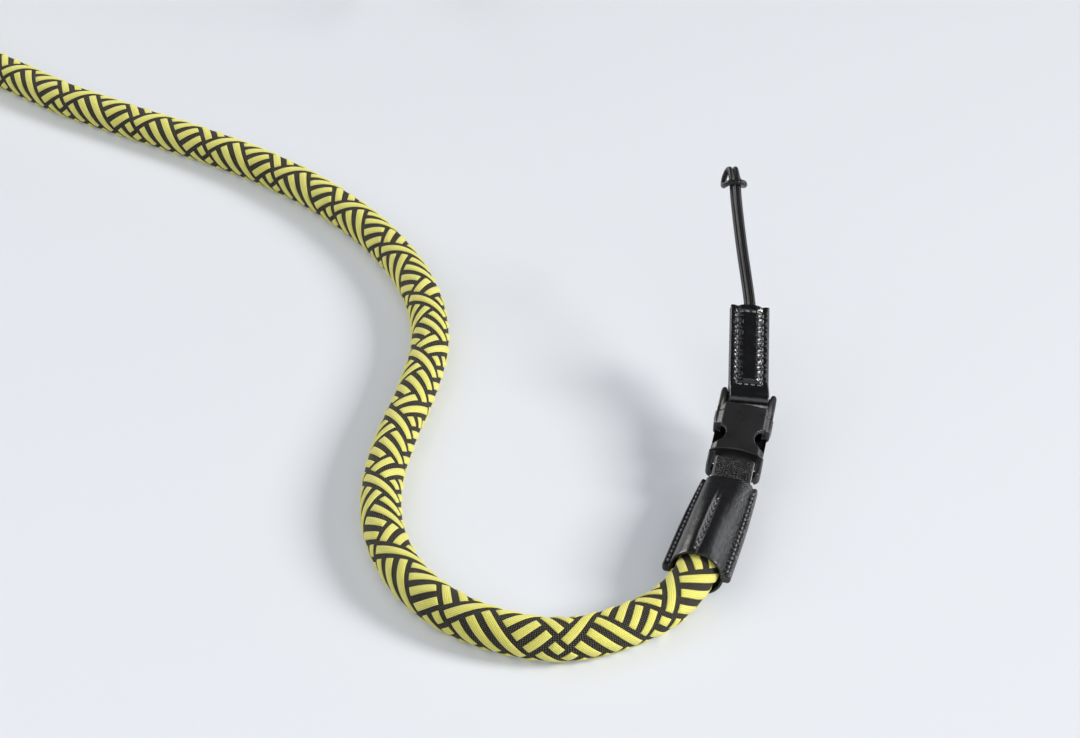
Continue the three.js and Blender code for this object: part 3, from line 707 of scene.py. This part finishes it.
def cord_route(place):
    """The hitch seen from the eye: up one strand, round the wire, across, and back."""
    wrap = EYE_WIRE / 2 + GAP + HITCH_ROOM
    pitch = HITCH_PITCH
    seat_y = TAB_LENGTH + np.array([-CORD_SEAT, -CORD_SEAT / 2, 0.0, 1.3])
    seat = np.stack([np.full(4, -STRAND), seat_y, np.zeros(4)], axis=1)
    seats = [place["eye"].into(place["tab"].out(seat * [side, 1, 1])) for side in (1, -1)]
    half = np.array([
        [-STRAND, -CORD_LENGTH / 2, 0.15],
        [-STRAND, -4 * wrap, 0.5 * wrap],
        [-STRAND, -2 * wrap, wrap],
        [-STRAND, -0.3 * wrap, 1.08 * wrap],
        [-STRAND, 0.75 * wrap, 0.75 * wrap],
        [-STRAND - 0.2 * pitch, 1.08 * wrap, -0.1 * wrap],
        [-STRAND - 0.6 * pitch, 0.5 * wrap, -0.95 * wrap],
        [-STRAND - 0.9 * pitch, -0.5 * wrap, -0.95 * wrap],
        [-STRAND - 1.1 * pitch, -1.3 * wrap, -0.2 * wrap],
        [-STRAND - 1.1 * pitch, -1.85 * wrap, 0.85 * wrap],
        [-STRAND - 0.6 * pitch, -2.1 * wrap, wrap + 0.85 * pitch],
    ])
    bight = np.array([[0, -2.15 * wrap, wrap + 1.15 * pitch]])
    other = (half * [-1, 1, 1])[::-1]
    return place["eye"].out(np.vstack([seats[0], half, bight, other, seats[1][::-1]]))


def carried_frames(curve):
    """Two directions across a curve at each point, turned only as much as the curve turns."""
    forward = unit(np.gradient(curve, axis=0))
    side = unit(np.cross(forward[0], [0.3, 0.1, 1.0]))
    sides = []
    for direction in forward:
        side = unit(side - (side @ direction) * direction)
        sides.append(side)
    return np.array(sides), np.cross(forward, np.array(sides))


def round_tube(curve, radius, sides):
    """A tube: each ring is a circle across the curve. The map is the length and way round."""
    side, up = carried_frames(curve)
    angle = np.linspace(0.0, TURN, sides + 1)
    ring = angle[:-1]
    spread = np.cos(ring)[None, :, None] * side[:, None] + np.sin(ring)[None, :, None] * up[:, None]
    uv = np.stack(np.broadcast_arrays(arc_lengths(curve)[:, None], (angle * radius)[None, :]), -1)
    return tubes((curve[:, None] + radius * spread)[None], uv[None])


for side, place in ends.items():
    curve = smooth_route(cord_route(place), CORD_STEPS)
    part = round_tube(curve, CORD_RADIUS, CORD_SIDES)
    cord = make_piece(f"{side}_braided_loop", [part], [braid])
    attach(cord, "root")
    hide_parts(f"{side}_loop_cord")
    tuple(place["tab"].out([0, TAB_LENGTH, 0]) * MM)

# %% [markdown]
# ## Leather caps
# The cap is a piece of leather wrapped round the rope's end and sewn flat down both sides, with
# a row of stitches pressed into a narrow crease near its middle, so it has two bulges. It is one
# surface: it starts in the bore, rolls over the mouth, runs up the outside and turns into the
# slot at the top. The outline at each height comes from a table of a few sections.

# %% Cap surface
CAP_RADIUS = 6.4
CAP_LIP = 1.6
CAP_EDGE = 1.1
CAP_VALLEY = 0.95
CAP_VALLEY_WIDTH = 0.1
CAP_SEAM_X = -0.6
CAP_ROUNDING = 0.35
CAP_RINGS = 60
BORE = 5.7
SLOT_HALF = (5.3, 1.75)
SECTION_AT = np.array([0.0, 0.17, 0.27, 0.4, 0.6, 0.8, 0.95, 1.0])
SECTIONS = {
    "core": [1.0, 0.99, 0.98, 0.97, 0.95, 0.92, 0.9, 0.89],
    "thick": [1.0, 0.99, 0.96, 0.92, 0.84, 0.7, 0.53, 0.46],
    "lip": [1.0, 1.0, 1.0, 1.0, 0.95, 0.85, 0.75, 0.65],
    "valley": [0.3, 0.8, 1.0, 1.0, 0.9, 0.25, 0.0, 0.0],
    "square": [2.0, 2.0, 2.05, 2.1, 2.3, 2.6, 3.1, 3.3],
}


def section_at(name, at):
    """A table's value between its rows, eased by averaging over a short stretch."""
    spread = np.linspace(-0.07, 0.07, 15)
    return np.interp(np.clip(at[..., None] + spread, 0.0, 1.0), SECTION_AT, SECTIONS[name]).mean(-1)


def cap_height(x, at):
    """Height of the cap's upper face: a rounded dome less the pressed valley, no lower than the
    sewn lip, with a groove where the dome meets the lip."""
    core = CAP_RADIUS * section_at("core", at)
    square = section_at("square", at)
    u = np.clip(np.abs(x) / core, 0.0, 1.0)
    dome = CAP_RADIUS * section_at("thick", at) * (1.0 - u**square) ** (1.0 / square)
    aside = (x - CAP_SEAM_X) / core / CAP_VALLEY_WIDTH
    shape = dome - CAP_VALLEY * section_at("valley", at) * np.exp(-(aside**2))
    lifted = np.logaddexp(shape / CAP_ROUNDING, CAP_EDGE / CAP_ROUNDING) * CAP_ROUNDING
    groove = 0.28 * np.exp(-(((np.abs(x) - core - 0.15) / 0.32) ** 2))
    return lifted - groove


def cap_ring(at):
    """One outline: the upper face from one lip's edge to the other, and its mirror below, with
    a fine line round the lip's edge where two leathers meet."""
    at = np.array(at)
    core = float(CAP_RADIUS * section_at("core", at))
    reach = core + float(CAP_LIP * section_at("lip", at))
    inner = reach - CAP_ROUNDING
    lip = core + (inner - core) * np.array([1.0, 0.8, 0.6, 0.4, 0.2])
    dome = core * np.cos(np.linspace(0.0, math.pi, 51))
    x = np.concatenate([lip, dome, -lip[::-1]])
    z = cap_height(x, np.full(len(x), float(at)))
    tilt = np.radians([8.0, 40.0, 72.0])
    rim_z = CAP_EDGE * np.sin(tilt) ** 0.6 - 0.05
    rim = np.stack([inner + CAP_ROUNDING * np.cos(tilt), rim_z], axis=1)
    seam = np.array([[reach - 0.18, 0.0]])
    upper = np.vstack([rim, np.stack([x, z], axis=1), (rim * [-1, 1])[::-1]])
    lower = (upper * [1, -1])[::-1]
    return np.vstack([seam, upper, seam * [-1, 1], lower])


def cap_points():
    """Rings from the bore's floor out over the mouth, up the outside and into the slot."""
    outer = [(CAP_LENGTH * at, cap_ring(at)) for at in np.linspace(0.012, 0.988, CAP_RINGS)]
    mouth, top = outer[0][1], outer[-1][1]
    circle, around = unit(mouth), unit(top)
    slot = around * ((np.abs(around / SLOT_HALF) ** 8).sum(axis=1) ** -0.125)[:, None]
    rings = [
        (ROPE_SEAT + GAP, 5.3 * circle),
        (3.0, 5.35 * circle),
        (1.0, 5.5 * circle),
        (0.25, 5.62 * circle),
        (0.04, 0.72 * BORE * circle + 0.28 * mouth),
        (0.0, 0.4 * BORE * circle + 0.6 * mouth),
        (0.08, 0.1 * BORE * circle + 0.9 * mouth),
        *outer,
        (CAP_LENGTH - 0.08, 0.97 * top + 0.03 * slot),
        (CAP_LENGTH, 0.85 * top + 0.15 * slot),
        (CAP_LENGTH - 0.05, 0.3 * top + 0.7 * slot),
        (CAP_LENGTH - 0.4, slot),
        (CAP_LENGTH - 3.5, 0.97 * slot),
    ]
    height = np.array([ring[0] for ring in rings])
    flat = np.array([ring[1] for ring in rings])
    height = np.broadcast_to(height[:, None], flat.shape[:2])
    return np.stack([flat[..., 0], height, flat[..., 1]], axis=-1)


def ring_map(points):
    """A map in millimetres: the length from ring to ring and the way round each ring."""
    closed = np.concatenate([points, points[:, :1]], axis=1)
    steps = np.linalg.norm(np.diff(closed, axis=1), axis=2)
    around = np.concatenate([np.zeros((len(points), 1)), np.cumsum(steps, axis=1)], axis=1)
    along = arc_lengths(points.mean(axis=1))
    return np.stack(np.broadcast_arrays(along[:, None], around), axis=-1)


def one_tube(place, local):
    """A part from rings drawn in a run's frame, with their own map."""
    return tubes(place.out(local)[None], ring_map(local)[None])


for side, place in ends.items():
    part = one_tube(place["cap"], cap_points())
    cap = make_piece(f"{side}_leather_cap", [part], [leather])
    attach(cap, "root")
    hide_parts(f"{side}_rope_cap")

# %% [markdown]
# ## Stitches
# Each stitch is a short thread that rises out of one hole and dives into the next: a small
# capsule with an arched back. A seam is a stack of them, laid on the leather along a line.

# %% Stitches
STITCH_SUNK = 0.12
STITCH_RISE = 0.2
SEAM_ZIGZAG = 0.24


def stitch_row(start, stop, pitch):
    """Centres and directions of stitches in a straight row, in the plane of the leather."""
    start, stop = np.array(start, dtype=float), np.array(stop, dtype=float)
    count = max(int(round(np.linalg.norm(stop - start) / pitch)), 1)
    share = (np.arange(count) + 0.5) / count
    direction = np.repeat(unit(stop - start)[None], count, axis=0)
    return start + (stop - start) * share[:, None], direction


def stitch_part(centres, directions, height, face, length=1.3, radius=0.24):
    """Capsules on a face: along a stitch the radius swells as the root of 1 - t^4 and the
    middle line rises as 1 - t^2. Height gives the leather's face at any x and y."""
    t = np.linspace(-1.0, 1.0, 9)
    angle = np.linspace(0.0, TURN, 9)
    along = centres[:, None] + directions[:, None] * (t * length / 2)[None, :, None]
    left = np.stack([-directions[:, 1], directions[:, 0]], axis=1)
    swell = (radius * np.sqrt(np.clip(1.0 - t**4, 0.02, 1.0)))[:, None]
    aside = (swell * np.cos(angle[:-1]))[None, ..., None]
    flat = along[:, :, None] + left[:, None, None] * aside
    base = height(along[..., 0], along[..., 1]) - STITCH_SUNK + STITCH_RISE * (1.0 - t**2)
    lift = base[:, :, None] + (swell * np.sin(angle[:-1]))[None]
    points = np.concatenate([flat, face * lift[..., None]], axis=-1)
    grid = np.broadcast_arrays((t * length)[None, :, None], (angle * radius)[None, None, :])
    uv = np.broadcast_to(np.stack(grid, axis=-1), points.shape[:2] + (9, 2))
    return points, uv


def sewn(place, rows, height):
    """Stitches along rows of centres and directions, on the upper face and on the lower one."""
    parts = []
    for face in (1, -1):
        made = [stitch_part(*row[:2], height, face, *row[2:]) for row in rows]
        points, maps = (np.concatenate([part[k] for part in made]) for k in range(2))
        parts.append(tubes(place.out(points), maps))
    return parts


def cap_face(x, y):
    return cap_height(x, y / CAP_LENGTH)


def cap_rows():
    """A zigzag row down the crease and a straight one down each lip."""
    centres, directions = stitch_row((CAP_SEAM_X, 1.6), (CAP_SEAM_X, 21.4), 1.0)
    zigzag = np.where(np.arange(len(centres)) % 2, 1.0, -1.0)
    centres[:, 0] += SEAM_ZIGZAG * zigzag
    directions = unit(directions + np.stack([0.5 * zigzag, np.zeros(len(zigzag))], axis=1))
    lips = [stitch_row((side * 6.95, 0.9), (side * 6.2, 29.4), 1.5) for side in (1, -1)]
    return [(centres, directions, 0.95, 0.27), *[(*row, 1.15, 0.26) for row in lips]]


for side, place in ends.items():
    parts = sewn(place["cap"], cap_rows(), cap_face)
    stitches = make_piece(f"{side}_cap_stitches", parts, [thread_wax])
    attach(stitches, "root")

# %% [markdown]
# ## Straps and tabs
# Both are strips of leather with rounded edges, folded round a bar. A strip is a section carried
# along a path in the plane of the run's Y and Z, which is a half circle round the bar. The tab's
# two plies are sewn round a rectangle, and inside it the leather bulges over the cord.

# %% Strips of leather
def strip_section(width, thickness, round_edge, columns):
    """Outline of a flat strip: across the top, round an edge, back below and round the other."""
    tilt = np.radians([60.0, 30.0, 0.0, -30.0, -60.0])
    half = width / 2 - round_edge
    across = np.linspace(-half, half, columns)
    edge = np.stack([half + round_edge * np.cos(tilt), thickness / 2 * np.sin(tilt)], axis=1)
    top = np.stack([across, np.full(columns, thickness / 2)], axis=1)
    return np.vstack([top, edge, (top * [1, -1])[::-1], (edge * [-1, 1])[::-1]])


def strip_points(path, section, lift=None):
    """Carries the section along a path of (y, z), square to it. Lift moves a point out along
    the path's normal by a height that depends on where it is."""
    forward = unit(np.gradient(path, axis=0))
    normal = np.stack([-forward[:, 1], forward[:, 0]], axis=1)
    x = np.broadcast_to(section[None, :, 0], (len(path), len(section)))
    rise = np.broadcast_to(section[None, :, 1], x.shape)
    if lift is not None:
        rise = rise + lift(x, np.broadcast_to(path[:, None, 0], x.shape))
    yz = path[:, None] + rise[..., None] * normal[:, None]
    return np.concatenate([x[..., None], yz], axis=-1)


def even_path(points, spacing):
    """The same path with points at even spacing."""
    arc = arc_lengths(points)
    at = np.linspace(0.0, arc[-1], int(arc[-1] / spacing) + 1)
    return np.stack([np.interp(at, arc, points[:, k]) for k in range(2)], axis=1)


STRAP_PLY = 1.0
STRAP_CLOSED = 0.6
STRAP_HALF = 1.7
STRAP_BEND = 3.1
STRAP_WIDTH = 9.4


def strap_path(stand):
    """Up the upper ply from the cap, round the bar and back down: the plies part as they leave
    the cap and turn together with the buckle's run."""
    y = np.linspace(-stand - 4.6, STRAP_BEND, 60)
    z = STRAP_CLOSED + (STRAP_HALF - STRAP_CLOSED) * ease((y + stand + 1.2) / (stand + 1.2))
    bend = np.linspace(math.pi / 2, -math.pi / 2, 30)[1:-1]
    turn = np.stack([STRAP_BEND + STRAP_HALF * np.cos(bend), STRAP_HALF * np.sin(bend)], axis=1)
    upper = np.stack([y, z], axis=1)
    lower = (upper * [1, -1])[::-1]
    return even_path(np.vstack([lower, turn[::-1], upper[::-1]]), 0.45)


def strap_lift(x, y):
    """A soft swell in the middle of the strap, and a dip along its edges."""
    return 0.12 * (1.0 - (x / 5.0) ** 4) - 0.06


for side, place in ends.items():
    path = strap_path(place["stand_off"])
    local = strip_points(path, strip_section(STRAP_WIDTH, STRAP_PLY, 0.4, 13), strap_lift)
    part = one_tube(place["buckle"], local)
    strap = make_piece(f"{side}_grained_strap", [part], [grain_leather])
    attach(strap, "root")
    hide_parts(f"{side}_cap_strap")

# %% Tabs
TAB_WIDTH = 9.7
TAB_HALF = 0.72
TAB_FOLD = 1.9
TAB_BEND = 2.5
SEAM_IN = 3.15
SEAM_LOW = 6.0
SEAM_HIGH = 27.0
STITCH_PITCH = 1.65
TAB_BULGE = 0.5
TAB_FURROW = 0.26
TAB_PUCKER = 0.22


def tab_middle(y):
    """Height of the upper ply's middle: pressed flat above the fold, wider round the bar."""
    return TAB_HALF + (TAB_FOLD - TAB_HALF) * ease((7.4 - y) / 4.2)


def tab_path():
    y = np.linspace(TAB_LENGTH, TAB_BEND, 90)
    upper = np.stack([y, tab_middle(y)], axis=1)
    bend = np.linspace(math.pi / 2, 3 * math.pi / 2, 30)[1:-1]
    turn = np.stack([TAB_BEND + TAB_FOLD * np.cos(bend), TAB_FOLD * np.sin(bend)], axis=1)
    return even_path(np.vstack([upper, turn, (upper * [1, -1])[::-1]])[::-1], 0.22)


def tab_lift(x, y):
    """The bulge between the seams, a furrow along each seam, and the puckers that the stitches
    draw across it: a wave along the seam that fades away from it on both sides."""
    inside = ease((3.0 - np.abs(x)) / 1.6) * ease((y - SEAM_LOW) / 2.0)
    side_row = np.exp(-(((np.abs(x) - SEAM_IN) / 0.4) ** 2)) * ease((y - SEAM_LOW + 0.6) / 0.5)
    end_rows = np.exp(-(((y - SEAM_LOW) / 0.4) ** 2)) + np.exp(-(((y - SEAM_HIGH) / 0.4) ** 2))
    furrow = np.maximum(side_row, end_rows * (np.abs(x) < SEAM_IN))
    near = np.exp(-(((np.abs(x) - SEAM_IN + 0.3) / 0.75) ** 2)) * ease((y - SEAM_LOW) / 1.0)
    pucker = near * np.cos(TURN * y / STITCH_PITCH + 1.3 * np.sin(1.7 * y))
    return TAB_BULGE * inside - TAB_FURROW * furrow + TAB_PUCKER * pucker


def tab_face(x, y):
    return tab_middle(y) + TAB_PLY / 2 + tab_lift(x, y)


def tab_rows():
    """A rectangle of stitches."""
    left, right = -SEAM_IN, SEAM_IN
    corners = [(left, SEAM_LOW), (left, SEAM_HIGH), (right, SEAM_HIGH), (right, SEAM_LOW)]
    sides = zip(corners, corners[1:] + corners[:1])
    return [stitch_row(first, second, STITCH_PITCH) for first, second in sides]


for side, place in ends.items():
    local = strip_points(tab_path(), strip_section(TAB_WIDTH, TAB_PLY, 0.3, 49), tab_lift)
    part = one_tube(place["tab"], local)
    tab = make_piece(f"{side}_folded_tab", [part], [tab_leather])
    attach(tab, "root")
    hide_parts(f"{side}_tab")
    parts = sewn(place["tab"], tab_rows(), tab_face)
    stitches = make_piece(f"{side}_tab_stitches", parts, [thread_wax])
    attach(stitches, "root")

# %% [markdown]
# ## Buckles
# The solids have the buckle's openings and arms, but with the crisp edges of a drawing. A
# moulded part has soft edges everywhere. A copy is welded, rebuilt from small voxels and
# smoothed, which rounds every edge alike. Then its body is crowned and bevelled, its lower edge
# is arched, and the arms' ends are sunk and given a matt near-black finish as painted shade, so
# that the windows look deep.

# %% Moulded buckles
VOXEL = 0.15
WINDOW_CENTRE = 11.3
WINDOW_RADIUS = 3.4
BUCKLE_HALF = 7.05
FACE_HEIGHT = 2.2
CROWN = 0.45
BEVEL = 0.85
ARCH = 0.7
SILL = 0.9


def mesh_points(mesh):
    flat = np.empty(len(mesh.vertices) * 3)
    mesh.vertices.foreach_get("co", flat)
    return flat.reshape(-1, 3)


def rounded_copy(node, place):
    """A copy of a solid in the buckle's frame: welded, rebuilt from voxels and smoothed."""
    mesh = frame["nodes"][node].data.copy()
    mesh.transform(frame["nodes"][node].matrix_world)
    weld = bmesh.new()
    weld.from_mesh(mesh)
    bmesh.ops.remove_doubles(weld, verts=weld.verts, dist=2e-6)
    weld.to_mesh(mesh)
    weld.free()
    mesh.vertices.foreach_set("co", place.into(mesh_points(mesh) / MM).ravel())
    rough = bpy.data.objects.new(node + "_rough", mesh)
    bpy.context.collection.objects.link(rough)
    remesh = rough.modifiers.new("voxels", "REMESH")
    remesh.mode = "VOXEL"
    remesh.voxel_size = VOXEL
    soften = rough.modifiers.new("soften", "SMOOTH")
    soften.factor = 0.5
    soften.iterations = 4
    graph = bpy.context.evaluated_depsgraph_get()
    made = bpy.data.meshes.new_from_object(rough.evaluated_get(graph))
    bpy.data.objects.remove(rough)
    return made


def moulded(name, node, place):
    """The rounded copy, shaped. The faces swell by a crown that falls off to the sides, and the
    body's lower edge is drawn up in an arch."""
    made = rounded_copy(node, place)
    x, y, z = mesh_points(made).T
    body = ease((y - 4.8) / 1.6) * ease((28.0 - y) / 6.0)
    pressed = np.zeros(len(x))
    if node == "near_buckle_plug":
        pressed = ease((4.6 - np.abs(y - WINDOW_CENTRE)) / 0.5) * ease((np.abs(x) - 2.6) / 0.5)
        z = z - pressed * (z > 0.0) * (z + 0.7)
        x = x * (1.0 - 0.06 * pressed)
    if node == "near_buckle_socket":
        out, up = BUCKLE_HALF - np.abs(x), y - WINDOW_CENTRE
        away = np.hypot(out / WINDOW_RADIUS, up / WINDOW_RADIUS)
        push = 0.08 * ease((1.9 - away) / 0.8) * (away > 0.7) / away.clip(0.3)
        x, y = x - np.sign(x) * push * out, y + push * up
    else:
        sill = ease((5.4 - np.abs(x)) / 0.4) * ease((y - 20.3) / 0.5) * ease((22.2 - y) / 0.5)
        y = y + SILL * sill
    bevel = BEVEL * ease((np.abs(x) - 4.7) / 1.7) * body
    z = z - np.sign(z) * bevel * np.clip(np.abs(z) / FACE_HEIGHT, 0.0, 1.0)
    crown = CROWN * (1.0 - (x / 7.2) ** 2) * body
    z = z + np.sign(z) * crown * np.clip(np.abs(z) / FACE_HEIGHT, 0.0, 1.0)
    arch = ARCH * (1.0 - (x / 5.4) ** 2).clip(0.0) * np.exp(-(((y - 5.6) / 1.1) ** 2))
    shaped = np.stack([x, y + arch, z], axis=1)
    made.vertices.foreach_set("co", (place.out(shaped) * MM).ravel())
    made.polygons.foreach_set("use_smooth", np.ones(len(made.polygons), dtype=bool))
    made.materials.clear()
    for finish in (plastic, painted_shade_plastic):
        made.materials.append(finish.material)
    first_loops = np.empty(len(made.polygons), dtype=int)
    made.polygons.foreach_get("loop_start", first_loops)
    corners = np.empty(len(made.loops), dtype=int)
    made.loops.foreach_get("vertex_index", corners)
    # Faces on the sunk arm ends take the painted shade finish.
    dark = (pressed[corners[first_loops]] > 0.5).astype(int)
    made.polygons.foreach_set("material_index", dark)
    made.update()
    piece = add_object(name, made)
    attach(piece, "root")
    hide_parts(node)


moulded("near_socket", "near_buckle_socket", ends["near"]["buckle"])
moulded("near_plug", "near_buckle_plug", ends["near"]["buckle"])
moulded("far_closed_buckle", "far_buckle", ends["far"]["buckle"])

# %% [markdown]
# ## Floor and light
# The floor is plain and pale. The key light stands low on the right, a little in front, and
# throws the strap's soft shadow to the left and back. Two dim fills soften it. Four lights behind
# and above draw the glints on the black pieces and light only the strap, so that they add no
# shadows. A wash without shadows evens out the floor alone. The world is a pale cool grey, as in
# a white tent round a small product.

# %% Floor and lights
TABLE_Z = -0.0411
TABLE_REACH = 3.0
STRAP_MIDDLE = np.array([-0.06, 0.02, -0.03])

signs = [(-1, -1), (1, -1), (1, 1), (-1, 1)]
corners = [(x * TABLE_REACH, y * TABLE_REACH, TABLE_Z) for x, y in signs]
table_mesh = bpy.data.meshes.new("table")
table_mesh.from_pydata(corners, [], [(0, 1, 2, 3)])
table = bpy.data.objects.new("table", table_mesh)
bpy.context.collection.objects.link(table)
table_top = Finish("pale_table", Roughness=0.45, Specular_IOR_Level=0.3)
table_top.set("Base Color", (0.72, 0.74, 0.775, 1.0))
table_mesh.materials.append(table_top.material)


def soft_light(name, direction, distance, size, power, colour):
    """A soft light that looks at the middle of the strap from a direction and distance."""
    data = bpy.data.lights.new(name, "AREA")
    data.shape = "RECTANGLE"
    data.size, data.size_y = size
    data.energy = power
    data.color = colour
    lamp = bpy.data.objects.new(name, data)
    toward = unit(np.array(direction, dtype=float))
    lamp.location = tuple(STRAP_MIDDLE + toward * distance)
    lamp.rotation_euler = Vector(tuple(toward)).to_track_quat("Z", "Y").to_euler()
    bpy.context.collection.objects.link(lamp)
    return lamp


soft_light("key", (1.7, -0.45, 1.0), 2.4, (0.8, 0.8), 59.0, (1.0, 0.99, 0.97))
soft_light("left_fill", (-1.0, -0.5, 0.8), 2.0, (1.8, 1.2), 7.0, (0.93, 0.96, 1.0))
soft_light("front_fill", (0.0, -1.0, 0.95), 2.0, (2.0, 1.2), 10.0, (0.96, 0.98, 1.0))
glints = [
    soft_light("back_right", (0.78, 0.54, 0.36), 1.2, (0.8, 0.46), 3.8, (0.92, 0.95, 1.0)),
    soft_light("back_left", (-0.72, 0.6, 0.38), 1.2, (1.0, 0.5), 10.0, (1.0, 0.97, 0.94)),
    soft_light("top_right", (0.5, 0.22, 0.84), 1.2, (0.12, 0.12), 0.45, (0.95, 0.97, 1.0)),
    soft_light("top_left", (-0.42, 0.2, 0.89), 1.2, (0.12, 0.12), 0.6, (0.95, 0.97, 1.0)),
]
table_wash = soft_light("table_wash", (-0.55, 0.5, 1.0), 2.0, (1.8, 1.8), 18.5, (0.98, 0.99, 1.0))
table_only = bpy.data.collections.new("table_only")
table_only.objects.link(table)
table_wash.data.use_shadow = False
table_wash.light_linking.receiver_collection = table_only
strap_only = bpy.data.collections.new("strap_only")
for piece in bpy.context.scene.objects:
    if piece.type == "MESH" and piece != table:
        strap_only.objects.link(piece)
for lamp in glints:
    lamp.light_linking.receiver_collection = strap_only
world = bpy.data.worlds.new("pale_room")
world.use_nodes = True
sky = world.node_tree.nodes["Background"]
sky.inputs["Color"].default_value = (0.84, 0.90, 1.0, 1.0)
sky.inputs["Strength"].default_value = 0.10
bpy.context.scene.world = world
bpy.context.scene.view_settings.view_transform = "Standard"
print("table and lights are set")
